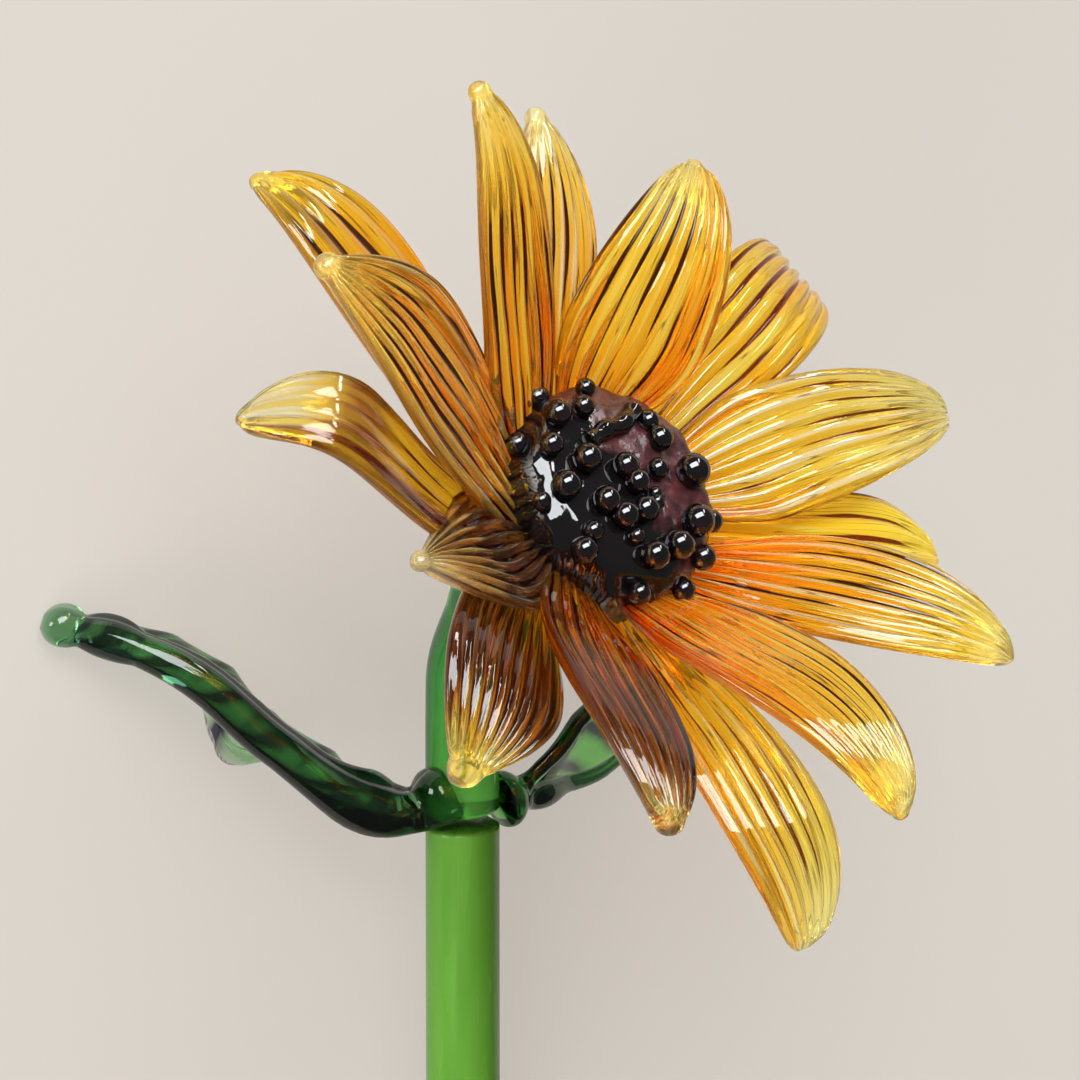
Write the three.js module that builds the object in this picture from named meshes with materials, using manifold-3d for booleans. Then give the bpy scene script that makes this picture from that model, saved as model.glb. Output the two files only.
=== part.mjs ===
// A flame-worked glass sunflower: reeded amber petals round a dark beaded seed head,
// on a bent green rod with two glass leaves. It lies on its back. Millimetres, +Z up.
//
// The flower is drawn standing first: X to the viewer's right, Y away from the viewer and
// Z up, with the middle of the bloom at the origin. The finished pieces are then laid down.

import * as THREE from 'three';
import { mergeVertices } from 'three/addons/utils/BufferGeometryUtils.js';
import Module from 'manifold-3d';

const wasm = await Module();
wasm.setup();

// Clearance between pieces that are fused on the real flower
const GAP = 0.3;

// The bloom: degrees that its face turns from the viewer, and which way it leans
const HEAD_TURN = 42;
const HEAD_LEAN = 38;
const EYE_DOWN = 5;

// Seed head: a domed disc with a hub behind it, as radius and height along its axis
const DISC_PROFILE = [
  [0, -8.5], [7, -8.5], [11, -7], [12, -4], [12, 0.5], [11.6, 3], [10.4, 4.9], [8, 6.2], [4.8, 6.9], [0, 7.2],
];
const DISC_SIDES = 28;

// Beads of dark glass on the dome: ring radius, bead radius and clock angles in degrees
const BEAD_RINGS = [
  { ring: 1.9, bead: 1.3, at: [-170, 125, -20] },
  { ring: 3.6, bead: 0.9, at: [-95, -112, 40] },
  { ring: 6.2, bead: 1.35, at: [-157, 175, -125, -62, -28, 12] },
  { ring: 6.5, bead: 1.15, at: [132, 111, 98, 85, 72, 59] },
  { ring: 8.6, bead: 1.5, at: [-78, -101, -52, 34, -5] },
  { ring: 9.4, bead: 1.3, at: [154, 130, 84, -125, -150] },
  { ring: 10.6, bead: 1.3, at: [104, -80, -30, 15, 50, -172] },
  { ring: 11.4, bead: 1.2, at: [158, 120, 78, -8, -58, -110] },
];
const BEAD_SIDES = 6;
const BEAD_STEPS = 4;
const BEAD_LIFT = 0.35;

// Petals: at is the clock angle of the root, turn is how far the petal swings round by its
// tip, rise and tip are its slopes above the bloom's face at root and tip, and bend is how
// late it turns over. dip lays the root flatter, and roll leans the petal to one side.
// Petals of the back row start behind those of the front row.
const FRONT_HEIGHT = -2;
const FRONT_ROW = {
  petal_12: { at: 170, length: 28, width: 14.5, rise: 45, tip: -50, bend: 2.5, widest: 0.5 },
  petal_10: { at: -155, turn: 30, length: 47, width: 15, rise: 40, tip: -25, bend: 5, widest: 0.45 },
  petal_14: { at: 130, turn: -5, length: 45, width: 15, rise: 45, tip: -35, bend: 3.5, roll: 10 },
  petal_01: { at: 100, turn: -5, length: 46, width: 13, rise: 50, tip: 20, bend: 4, roll: 10 },
  petal_03: { at: 50, turn: -20, length: 35, width: 16, rise: 60, tip: -30, roll: -15, widest: 0.4 },
  petal_05: { at: -17, turn: -5, length: 42, width: 15.5, rise: 20, tip: -25, roll: 10, widest: 0.3 },
  petal_07: { at: -72, turn: 5, length: 41, width: 14.5, rise: 45, tip: -5, bend: 3.5, widest: 0.5 },
  petal_08: { at: -110, turn: 10, length: 45, width: 15, rise: 45, tip: -25, bend: 4, widest: 0.4 },
};
const BACK_HEIGHT = -4.5;
const BACK_ROW = {
  petal_02: { at: 71, turn: -5, length: 37, width: 13, rise: 40, tip: 5, roll: 10 },
  petal_04: { at: 12, turn: -10, length: 45, width: 15, rise: 20, tip: -70 },
  petal_06: { at: -43, turn: 15, length: 40, width: 14.5, rise: 10, tip: -25, widest: 0.65 },
  petal_09: { at: -112, turn: 10, length: 46, width: 14.5, rise: 20, tip: -55, bend: 4, widest: 0.65 },
  petal_11: { at: -176, turn: 35, length: 45, width: 14.5, rise: 30, tip: -90, bend: 5, widest: 0.7 },
  petal_13: { at: 154, turn: -15, length: 53, width: 12.5, rise: 50, tip: -90, bend: 5.5, dip: 40 },
  petal_15: { at: 117, turn: -15, length: 48, width: 14.5, rise: 30, tip: -60, bend: 4.5, widest: 0.4 },
};

// What all petals share: root radius, thickness, how much thinner the ends are, how narrow
// root and tip are, how full the outline is, the cup across and the reeds along the glass
const PETAL_ROOT = 10.5;
const PETAL_THICK = 3.2;
const PETAL_END_THICK = 0.6;
const PETAL_NECK = 0.36;
const PETAL_NUB = 0.9;
const ROOT_FULLNESS = 1.3;
const TIP_FULLNESS = 0.62;
const PETAL_CUP = 0.15;
const PETAL_REEDS = 16;
const REED_DEPTH = 0.28;
const PETAL_STATIONS = 10;
const SPINE_STEPS = 4;

// Stem: one thickness of rod from the bloom's back, over a bend, down to its cut end
const ROD_RADIUS = 4.3;
const ROD_SIDES = 16;
const STEM_AXIS = { x: -15.8, y: 21 };
const WELD_HEIGHT = -38.5;
const STEM_END = -250;
const STEM_ROUND = [[0, 0], [2.2, 0.3], [3.6, 1.4], [ROD_RADIUS, 3.6]];

// Neck: how far it runs straight behind the hub, its flared pad as radius and depth, and
// the bend down to the stem as offsets from the stem's axis with their heights
const NECK_STRAIGHT = [0.5, 5, 10, 15];
const NECK_PAD = [[ROD_RADIUS, 6], [5.3, 3], [8, 0]];
const NECK_BEND = [[2.2, -2.6, -14.5], [0.3, -0.3, -20], [0, 0, -26]];
const NECK_STEPS = 16;

// Leaves: the middle line from the stem to the tip, and the way the blade widens
const LEAVES = {
  leaf_left: {
    line: [[-17, 19, -35], [-23, 18, -37], [-29, 17, -36], [-37, 15, -28.5], [-45, 13, -21.5],
      [-53, 11.5, -17], [-63, 10, -13.5]],
    side: [0.15, 0.95, -0.25],
    width: 15,
  },
  leaf_right: {
    line: [[-11.5, 22.5, -36.5], [-7, 26, -35], [-3, 30, -32], [2, 34, -29.5], [6, 38.5, -27.5],
      [9.5, 43.5, -26], [12, 49, -25.5]],
    side: [0.35, -0.25, 0.75],
    width: 13,
  },
};

// What both leaves share: the boss on the stem and the ball at the tip, as place along the
// leaf, spread, half width and half thickness, then the blade and its slanting veins
const LEAF_BOSS = { place: 0.02, spread: 0.1, wide: 3.4, thick: 3.2 };
const LEAF_BALL = { place: 0.96, spread: 0.05, wide: 2.3, thick: 2.2 };
const LEAF_THICK = 4;
const LEAF_WAIST = 3.2;
const LEAF_FULLNESS = 1.2;
const VEIN_DEPTH = 0.3;
const VEIN_PITCH = 40;
const VEIN_SLANT = 9;
const LEAF_STATIONS = 16;
const LEAF_SIDES = 16;
const LEAF_CUTTER = 60;

// Laying down: the turn on the stem and the tilt back that set it on three points, the
// stem's end and both leaves, and how deep their small flats are worn
const TURN_ON_STEM = 27.6;
const LAY_BACK = 87.7;
const FLAT_DEPTH = 0.8;
const TABLE_SIZE = 500;

// Finishes
const AMBER = { color: 0xd98a12, roughness: 0.08, metalness: 0 };
const DARK_GLASS = { color: 0x1a0d0e, roughness: 0.08, metalness: 0 };
const CLEAR_GREEN = { color: 0x1f6b2c, roughness: 0.08, metalness: 0 };
const GRASS_GREEN = { color: 0x559b34, roughness: 0.15, metalness: 0 };

const TINY = 1e-6;
const degrees = THREE.MathUtils.degToRad;

// Closed geometry with its shared vertices merged
function merged(geometry) {
  const bare = geometry.clone();
  bare.deleteAttribute('normal');
  bare.deleteAttribute('uv');
  return mergeVertices(bare, 1e-4);
}

function toSolid(geometry) {
  const bare = merged(geometry);
  return new wasm.Manifold(new wasm.Mesh({
    numProp: 3,
    vertProperties: new Float32Array(bare.attributes.position.array),
    triVerts: new Uint32Array(bare.index.array),
  }));
}

function toGeometry(solid) {
  const mesh = solid.getMesh();
  const geometry = new THREE.BufferGeometry();
  geometry.setAttribute('position', new THREE.BufferAttribute(mesh.vertProperties, 3));
  geometry.setIndex(new THREE.BufferAttribute(mesh.triVerts, 1));
  return geometry;
}

// The biggest loose piece of a cut solid, so that no scrap is kept
function biggestPiece(solid) {
  const pieces = solid.decompose();
  return pieces.reduce((best, piece) => (piece.volume() > best.volume() ? piece : best));
}

// Directions of the bloom: u to the upper right of its face, v across it and axis outwards
function headAxes() {
  const up = new THREE.Vector3(0, Math.sin(degrees(EYE_DOWN)), Math.cos(degrees(EYE_DOWN)));
  const toViewer = new THREE.Vector3(0, -up.z, up.y);
  const lean = new THREE.Vector3(Math.cos(degrees(HEAD_LEAN)), 0, 0)
    .addScaledVector(up, Math.sin(degrees(HEAD_LEAN)));
  const axis = lean.clone().multiplyScalar(Math.sin(degrees(HEAD_TURN)))
    .addScaledVector(toViewer, Math.cos(degrees(HEAD_TURN)));
  const u = lean.clone().addScaledVector(axis, -lean.dot(axis)).normalize();
  return { u, v: axis.clone().cross(u), axis };
}

const HEAD = headAxes();
const headMatrix = new THREE.Matrix4().makeBasis(HEAD.u, HEAD.v, HEAD.axis);

// Turned solid about the bloom's axis, from radius and height
function turned(profile, sides) {
  const points = profile.map(([radius, height]) => new THREE.Vector2(radius, height));
  return new THREE.LatheGeometry(points, sides).rotateX(Math.PI / 2);
}

function domeHeight(radius) {
  const dome = DISC_PROFILE.filter(([, height]) => height >= 0).reverse();
  const next = dome.findIndex(([r]) => r >= radius);
  const [r0, h0] = dome[Math.max(next - 1, 0)];
  const [r1, h1] = dome[next];
  return h0 + (h1 - h0) * (radius - r0) / Math.max(r1 - r0, TINY);
}

function seedHead(grow = 0) {
  const profile = DISC_PROFILE.map(([r, z]) => [r > 0 ? r + grow : 0, z + Math.sign(z) * grow]);
  let solid = toSolid(turned(profile, DISC_SIDES));
  for (const { ring, bead, at } of BEAD_RINGS) {
    const height = domeHeight(ring) + BEAD_LIFT * bead;
    for (const clock of at) {
      const ball = new THREE.SphereGeometry(bead + grow, BEAD_SIDES, BEAD_STEPS).rotateX(Math.PI / 2);
      ball.translate(ring * Math.cos(degrees(clock)), ring * Math.sin(degrees(clock)), height);
      solid = solid.add(toSolid(ball));
    }
  }
  return solid;
}

// Stations of a drop lie closer together near its two round ends
function stationPlace(station, stations) {
  return (1 - Math.cos(Math.PI * station / stations)) / 2;
}

// Where a petal is, and which way it points, at each station from root to tip
function petalSpine({ at, turn = 0, length, rise, tip, bend = 3, dip = 0, roll = 0 }, height) {
  const slope = (t) => degrees(rise + (tip - rise) * t ** bend - dip * (1 - t) ** 3);
  const clock = (t) => degrees(at + turn * t);
  const aim = (t) => new THREE.Vector3(
    Math.cos(slope(t)) * Math.cos(clock(t)), Math.cos(slope(t)) * Math.sin(clock(t)), Math.sin(slope(t)),
  );
  const point = new THREE.Vector3(PETAL_ROOT * Math.cos(clock(0)), PETAL_ROOT * Math.sin(clock(0)), height);
  const spine = [];
  for (let i = 0; i <= PETAL_STATIONS; i++) {
    const t = stationPlace(i, PETAL_STATIONS);
    const along = aim(t);
    const across = new THREE.Vector3(-Math.sin(clock(t)), Math.cos(clock(t)), 0);
    across.applyAxisAngle(along, degrees(roll));
    spine.push({ t, point: point.clone(), along, across, out: along.clone().cross(across) });
    const step = (stationPlace(i + 1, PETAL_STATIONS) - t) / SPINE_STEPS;
    for (let k = 0; k < SPINE_STEPS; k++) point.addScaledVector(aim(t + (k + 0.5) * step), length * step);
  }
  return spine;
}

// Half width of a petal: narrow root, full middle, rounded tip
function petalHalfWidth(t, { width, widest = 0.58 }) {
  const share = t < widest
    ? PETAL_NECK + (1 - PETAL_NECK) * Math.sin(t / widest * Math.PI / 2) ** ROOT_FULLNESS
    : Math.cos((t - widest) / (1 - widest) * Math.PI / 2) ** TIP_FULLNESS;
  return Math.max(width / 2 * share, PETAL_NUB);
}

function petalHalfThick(t) {
  return PETAL_THICK / 2 * Math.min(1, PETAL_END_THICK + PETAL_END_THICK * Math.sin(Math.PI * t));
}

// Rows of a unit drop as stations from its root, with where each vertex lies round the row
function shapeDrop(sides, stations, place) {
  const drop = merged(new THREE.SphereGeometry(1, sides, stations));
  const position = drop.attributes.position;
  for (let i = 0; i < position.count; i++) {
    const [x, y, z] = [position.getX(i), position.getY(i), position.getZ(i)];
    const station = Math.round(Math.acos(THREE.MathUtils.clamp(y, -1, 1)) / Math.PI * stations);
    const ring = Math.hypot(x, z);
    const pole = ring < TINY;
    const spot = place(station, pole ? 0 : x / ring, pole ? 0 : z / ring, pole);
    position.setXYZ(i, spot.x, spot.y, spot.z);
  }
  return drop;
}

// A drop of glass drawn out along its spine, flattened, cupped and reeded on both faces
function petalGeometry(petal, height, grow = 0) {
  const spine = petalSpine(petal, height);
  const drop = shapeDrop(PETAL_REEDS * 2, PETAL_STATIONS, (station, side, face, pole) => {
    const { t, point, along, across, out } = spine[station];
    const end = Math.sign(t - 0.5);
    if (pole) return point.clone().addScaledVector(along, end * grow);
    const reed = REED_DEPTH * Math.sin(Math.PI * t) * Math.cos(PETAL_REEDS * Math.atan2(face, side));
    const halfWidth = petalHalfWidth(t, petal) + grow;
    const thick = petalHalfThick(t) + grow + reed;
    return point.clone()
      .addScaledVector(across, side * halfWidth)
      .addScaledVector(out, face * thick + PETAL_CUP * halfWidth * side * side);
  });
  return drop.applyMatrix4(headMatrix);
}

// Each petal is cut back where it meets the seed head or a petal made before it
function petalSolids() {
  const core = seedHead(GAP).transform(headMatrix.elements);
  const solids = {};
  const grown = [];
  for (const [height, row] of [[FRONT_HEIGHT, FRONT_ROW], [BACK_HEIGHT, BACK_ROW]]) {
    for (const [name, petal] of Object.entries(row)) {
      let solid = toSolid(petalGeometry(petal, height)).subtract(core);
      for (const other of grown) solid = solid.subtract(other);
      solids[name] = biggestPiece(solid);
      grown.push(toSolid(petalGeometry(petal, height, GAP)));
    }
  }
  return solids;
}

// The rod starts behind the hub in a flared pad, leaves along the bloom's axis and bends down
function neckSolid(grow = 0) {
  const back = DISC_PROFILE[0][1] - GAP;
  const { x, y } = STEM_AXIS;
  const points = [
    ...NECK_STRAIGHT.map((depth) => HEAD.axis.clone().multiplyScalar(back - depth)),
    ...NECK_BEND.map(([dx, dy, height]) => new THREE.Vector3(x + dx, y + dy, height)),
    new THREE.Vector3(x, y, WELD_HEIGHT + GAP),
  ];
  const circle = new THREE.Shape().absarc(0, 0, ROD_RADIUS + grow, 0, 2 * Math.PI);
  const rod = new THREE.ExtrudeGeometry(circle, {
    steps: NECK_STEPS,
    bevelEnabled: false,
    extrudePath: new THREE.CatmullRomCurve3(points),
    curveSegments: ROD_SIDES / 2,
  });
  const flare = NECK_PAD.map(([radius, depth]) => [radius + grow, back - depth]);
  const pad = turned([[0, flare[0][1]], ...flare, [0, back]], ROD_SIDES).applyMatrix4(headMatrix);
  return toSolid(rod).add(toSolid(pad));
}

// The straight rod, with a fire-polished rounded end
function stemSolid() {
  const length = WELD_HEIGHT - STEM_END;
  const stem = turned([...STEM_ROUND, [ROD_RADIUS, length], [0, length]], ROD_SIDES);
  stem.translate(STEM_AXIS.x, STEM_AXIS.y, STEM_END);
  return toSolid(stem);
}

function swell({ place, spread }, t) {
  return Math.exp(-(((t - place) / spread) ** 2));
}

// Half width of a leaf: a round boss on the stem, a narrow waist, the blade and a round tip
function leafHalfWidth(t, width) {
  const blade = width / 2 * Math.sin(Math.PI * t) ** LEAF_FULLNESS;
  const ends = [LEAF_BOSS, LEAF_BALL].map((end) => end.wide * swell(end, t));
  return Math.max(...ends, blade, LEAF_WAIST / 2);
}

function leafHalfThick(t) {
  const ends = [LEAF_BOSS, LEAF_BALL].map((end) => end.thick * swell(end, t));
  return Math.max(...ends, LEAF_THICK / 2);
}

function leafGeometry({ line, side, width }) {
  const path = new THREE.CatmullRomCurve3(line.map((point) => new THREE.Vector3(...point)));
  return shapeDrop(LEAF_SIDES, LEAF_STATIONS, (station, flat, face) => {
    const t = stationPlace(station, LEAF_STATIONS);
    const tangent = path.getTangentAt(t);
    const across = new THREE.Vector3(...side);
    across.addScaledVector(tangent, -across.dot(tangent)).normalize();
    const out = tangent.clone().cross(across);
    const vein = VEIN_DEPTH * Math.sin(Math.PI * t) * Math.cos(VEIN_PITCH * t - VEIN_SLANT * Math.abs(flat));
    return path.getPointAt(t)
      .addScaledVector(across, flat * leafHalfWidth(t, width))
      .addScaledVector(out, face * (leafHalfThick(t) + vein));
  });
}

// Both leaves are cut back where their boss meets the neck or the stem
function leafSolids() {
  const cutter = new THREE.CylinderGeometry(ROD_RADIUS + GAP, ROD_RADIUS + GAP, LEAF_CUTTER, ROD_SIDES);
  cutter.rotateX(Math.PI / 2).translate(STEM_AXIS.x, STEM_AXIS.y, WELD_HEIGHT - LEAF_CUTTER / 3);
  const rods = neckSolid(GAP).add(toSolid(cutter));
  const solids = {};
  for (const [name, leaf] of Object.entries(LEAVES)) {
    solids[name] = biggestPiece(toSolid(leafGeometry(leaf)).subtract(rods));
  }
  return solids;
}

// The whole flower as it lies, standing on the origin at the middle of its box
function laidDown(pieces) {
  const lying = new THREE.Matrix4().makeRotationX(degrees(-LAY_BACK))
    .multiply(new THREE.Matrix4().makeRotationZ(degrees(-TURN_ON_STEM)));
  const box = new THREE.Box3();
  const lain = pieces.map(({ solid, ...rest }) => {
    const laid = solid.transform(lying.elements);
    const { min, max } = laid.boundingBox();
    box.expandByPoint(new THREE.Vector3(...min)).expandByPoint(new THREE.Vector3(...max));
    return { ...rest, solid: laid };
  });
  const middle = box.getCenter(new THREE.Vector3());
  const shift = [-middle.x, -middle.y, -box.min.z - FLAT_DEPTH];
  const table = toSolid(new THREE.BoxGeometry(TABLE_SIZE, TABLE_SIZE, 20).translate(0, 0, -10));
  return lain.map(({ solid, ...rest }) => {
    const placed = solid.translate(shift);
    const sinks = placed.boundingBox().min[2] < 0;
    return { ...rest, solid: sinks ? placed.subtract(table) : placed };
  });
}

const pieces = [{ name: 'seed_head', solid: seedHead().transform(headMatrix.elements), finish: DARK_GLASS }];
for (const [name, solid] of Object.entries(petalSolids())) pieces.push({ name, solid, finish: AMBER });
pieces.push({ name: 'neck', solid: neckSolid(), finish: CLEAR_GREEN });
pieces.push({ name: 'stem', solid: stemSolid(), finish: GRASS_GREEN });
for (const [name, solid] of Object.entries(leafSolids())) pieces.push({ name, solid, finish: CLEAR_GREEN });

const flower = new THREE.Group();
for (const { name, solid, finish } of laidDown(pieces)) {
  const mesh = new THREE.Mesh(toGeometry(solid), new THREE.MeshStandardMaterial(finish));
  mesh.name = name;
  flower.add(mesh);
}

export default flower;
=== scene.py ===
from math import acos, cos, exp, hypot, log, pi, radians, sin

import bmesh
import bpy
from mathutils import Matrix, Vector, noise


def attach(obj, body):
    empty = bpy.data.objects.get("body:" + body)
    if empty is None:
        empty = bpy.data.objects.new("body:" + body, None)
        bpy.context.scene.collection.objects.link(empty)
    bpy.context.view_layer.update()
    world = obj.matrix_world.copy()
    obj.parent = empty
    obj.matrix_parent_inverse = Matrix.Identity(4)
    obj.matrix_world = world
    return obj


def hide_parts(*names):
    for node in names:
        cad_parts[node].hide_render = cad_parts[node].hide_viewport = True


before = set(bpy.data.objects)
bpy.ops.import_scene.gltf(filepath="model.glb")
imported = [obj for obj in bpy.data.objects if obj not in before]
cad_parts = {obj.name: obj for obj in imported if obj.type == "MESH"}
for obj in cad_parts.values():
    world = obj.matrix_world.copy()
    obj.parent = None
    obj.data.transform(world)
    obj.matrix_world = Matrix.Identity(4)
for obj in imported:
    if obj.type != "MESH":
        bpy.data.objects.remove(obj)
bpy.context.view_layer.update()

# The flower is shaped standing, in millimetres: X to the viewer's right, Y away from the
# viewer, Z up and the middle of the bloom at the origin. LAY_DOWN then lays it on its back,
# in metres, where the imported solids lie. Its two turns are those of the part's source, and its
# shift repeats what that source works out.
MILLIMETRE = 0.001
TURN_ON_STEM = 27.6
LAY_BACK = 87.7
SHIFT = Vector((1.2065, 102.0025, 39.3261))
LAY_DOWN = (
    Matrix.Scale(MILLIMETRE, 4)
    @ Matrix.Translation(SHIFT)
    @ Matrix.Rotation(radians(-LAY_BACK), 4, "X")
    @ Matrix.Rotation(radians(-TURN_ON_STEM), 4, "Z")
)

# How the bloom's face turns from the viewer and leans
HEAD_TURN = radians(42)
HEAD_LEAN = radians(38)
EYE_DOWN = radians(5)
view_up = Vector((0, sin(EYE_DOWN), cos(EYE_DOWN)))
to_viewer = Vector((0, -view_up.z, view_up.y))
lean = Vector((cos(HEAD_LEAN), 0, 0)) + view_up * sin(HEAD_LEAN)
head_axis = lean * sin(HEAD_TURN) + to_viewer * cos(HEAD_TURN)
head_u = (lean - head_axis * lean.dot(head_axis)).normalized()
head_v = head_axis.cross(head_u)
HEAD = Matrix((head_u, head_v, head_axis)).transposed().to_4x4()


def colour(red, green, blue):
    """Scene colour from one written 0 to 255 as on a screen."""
    def linear(value):
        value /= 255
        return value / 12.92 if value < 0.04045 else ((value + 0.055) / 1.055) ** 2.4
    return (linear(red), linear(green), linear(blue), 1)


# How the pale floor shows on screen
FLOOR_SHOWS = (222, 215, 206)
# The glass's own tint is a little weaker than the one seen, as the floor behind it is partly
# lit through it
TINT_POWER = 0.9
# The most light that any glass lets through
CLEAREST = 0.98


def through(red, green, blue):
    """Glass colour that shows as this screen colour in front of the pale floor."""
    seen = colour(red, green, blue)[:3]
    ratios = [(value / pale) ** TINT_POWER for value, pale in zip(seen, colour(*FLOOR_SHOWS))]
    strongest = max(*ratios, CLEAREST)
    return tuple(CLEAREST * value / strongest for value in ratios) + (1,)


def on_one_face(red, green, blue):
    """The same for a stain on one face only, with clear glass behind it."""
    return tuple(value ** 2 for value in through(red, green, blue)[:3]) + (1,)


# Glass

# Layers of the meshes: what the glass's pattern reads, and 1 on a piece's front face
PATTERN_LAYER = "glass"
FRONT_LAYER = "front"
# The colour sockets of a Mix node
MIX_COLOURS = (6, 7)
MIX_RESULT = 2


class Finish:
    """A node material with one Principled shader, and short ways to add nodes to it."""

    def __init__(self, name):
        self.material = bpy.data.materials.new(name)
        self.material.use_nodes = True
        self.tree = self.material.node_tree
        self.shader = self.tree.nodes["Principled BSDF"]

    def socket(self, name, value):
        self.shader.inputs[name].default_value = value

    def link(self, source, target):
        self.tree.links.new(source, target)

    def feed(self, name, source):
        self.link(source, self.shader.inputs[name])

    def node(self, kind, **settings):
        made = self.tree.nodes.new(kind)
        for name, value in settings.items():
            setattr(made, name, value)
        return made

    def shape_reading(self):
        """The three numbers that the piece wrote for its pattern, such as the place along it."""
        reading = self.node("ShaderNodeAttribute", attribute_name=PATTERN_LAYER)
        parts = self.node("ShaderNodeSeparateColor")
        self.link(reading.outputs["Color"], parts.inputs["Color"])
        return parts.outputs[0], parts.outputs[1], parts.outputs[2]

    def on_front(self, amount):
        """This amount on the piece's front face, and none on its back."""
        front = self.node("ShaderNodeAttribute", attribute_name=FRONT_LAYER)
        return self.maths("MULTIPLY", amount, front.outputs["Fac"])

    def ramp(self, value, stops):
        made = self.node("ShaderNodeValToRGB")
        ramp = made.color_ramp
        while len(ramp.elements) < len(stops):
            ramp.elements.new(0.5)
        for element, (place, shade) in zip(ramp.elements, stops):
            element.position = place
            element.color = shade if len(shade) == 4 else (*shade, 1)
        self.link(value, made.inputs["Fac"])
        return made.outputs["Color"]

    def maths(self, operation, first, second=0):
        made = self.node("ShaderNodeMath", operation=operation)
        for socket, value in zip(made.inputs, (first, second)):
            if isinstance(value, (int, float)):
                socket.default_value = value
            else:
                self.link(value, socket)
        return made.outputs[0]

    def streaks(self, along, across, count, stretch, detail=2.0):
        """Noise drawn out along a piece, so that it runs as fine lines."""
        place = self.node("ShaderNodeCombineXYZ")
        self.link(self.maths("MULTIPLY", across, count), place.inputs["X"])
        self.link(self.maths("MULTIPLY", along, stretch), place.inputs["Y"])
        pattern = self.node("ShaderNodeTexNoise")
        pattern.inputs["Scale"].default_value = 1
        pattern.inputs["Detail"].default_value = detail
        self.link(place.outputs[0], pattern.inputs["Vector"])
        return pattern.outputs["Fac"]

    def grain(self, scale, detail=2.0):
        """Noise through the piece, by its place in the object."""
        place = self.node("ShaderNodeTexCoord")
        pattern = self.node("ShaderNodeTexNoise")
        pattern.inputs["Scale"].default_value = scale
        pattern.inputs["Detail"].default_value = detail
        self.link(place.outputs["Object"], pattern.inputs["Vector"])
        return pattern.outputs["Fac"]

    def mixed(self, amount, first, second, blend="MIX"):
        made = self.node("ShaderNodeMix", data_type="RGBA", blend_type=blend)
        if isinstance(amount, (int, float)):
            made.inputs["Factor"].default_value = amount
        else:
            self.link(amount, made.inputs["Factor"])
        for place, value in zip(MIX_COLOURS, (first, second)):
            if isinstance(value, tuple):
                made.inputs[place].default_value = value
            else:
                self.link(value, made.inputs[place])
        return made.outputs[MIX_RESULT]

    def tinted(self, first, second):
        return self.mixed(1.0, first, second, "MULTIPLY")

    def bumped(self, height, strength, distance):
        made = self.node("ShaderNodeBump")
        made.inputs["Strength"].default_value = strength
        made.inputs["Distance"].default_value = distance
        self.link(height, made.inputs["Height"])
        self.feed("Normal", made.outputs["Normal"])


WHITE = (1, 1, 1, 1)
BLACK = (0, 0, 0, 1)
GLASS_IOR = 1.5
# Depth of glass, in metres, that shows a depth tint in full
TINT_DEPTH = 0.003
# Keeps each part of the colour that absorption is given above zero
TINT_HEADROOM = 1.05


def grey(value):
    return (value, value, value)


def clear_glass(name, depth_tint=None, clouding=0):
    """Clear glass, which may darken with depth to a tint and may be clouded."""
    finish = Finish(name)
    finish.socket("Transmission Weight", 1.0 - clouding)
    finish.socket("IOR", GLASS_IOR)
    if depth_tint:
        taken = [-log(part) / TINT_DEPTH for part in depth_tint]
        density = TINT_HEADROOM * max(taken)
        inside = finish.node("ShaderNodeVolumeAbsorption")
        inside.inputs["Color"].default_value = (*[1 - part / density for part in taken], 1)
        inside.inputs["Density"].default_value = density
        finish.link(inside.outputs[0], finish.tree.nodes["Material Output"].inputs["Volume"])
    return finish


# Streaks in the petals' glass, as steps of noise across the petal and along it. Where they
# follow the ribs, the first number is steps for each radian of the ribs' phase.
DRIFT = (5, 0.9)
# Breaks up the painted highlights on the ribs' crests
HIGHLIGHT_STREAKS = (0.45, 1.6)
WORN_PATCHES = (0.5, 1.3)
FEATHERS = (0.8, 0.4)
# Breaks up the dark valley lines, which are partly painted shade
LINE_BREAKS = (0.62, 2.3)
FLOW = (18, 1.2)
FINE_WAVES = (34, 2.2)
# How much a rib's crest counts against those streaks, for the painted highlights, skin and dark lines
HIGHLIGHT_CREST = 0.35
SKIN_CREST = 0.12
LINE_CREST = 0.6
FEATHER_LENGTH = 0.24
FEATHER_MIDDLE = 0.2
LINE_BREAK_CONTRAST = 1.3
LINE_BREAK_MIDDLE = 0.15
THREAD_STRENGTH = 0.75
# Strength and colour of the painted dark outline at a petal's edges
OUTLINE_SHADE_STRENGTH = 0.5
OUTLINE_SHADE_BROWN = (110, 50, 12)
AMBER_DEPTH_TINT = (0.99, 0.94, 0.70)


def edge_tint(finish, across, low_edge, high_edge):
    """Tints of a petal's two long edges, which fade towards its middle."""
    return finish.ramp(across, [(0.0, low_edge), (0.16, low_edge), (0.34, WHITE),
                                (0.66, WHITE), (0.84, high_edge), (1.0, high_edge)])


def painted_crest_highlights(finish, along, rib_phase, reed, narrow, lights):
    """Where painted highlights run along the crests of the ribs, broken here and there."""
    highlight_breaks = finish.streaks(along, rib_phase, *HIGHLIGHT_STREAKS)
    crest = finish.maths("MULTIPLY", finish.maths("POWER", reed, narrow), HIGHLIGHT_CREST)
    highlight_level = finish.maths("ADD", crest, highlight_breaks)
    return finish.ramp(highlight_level, [(lights - 0.04, BLACK), (lights + 0.05, grey(0.9))])


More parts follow.
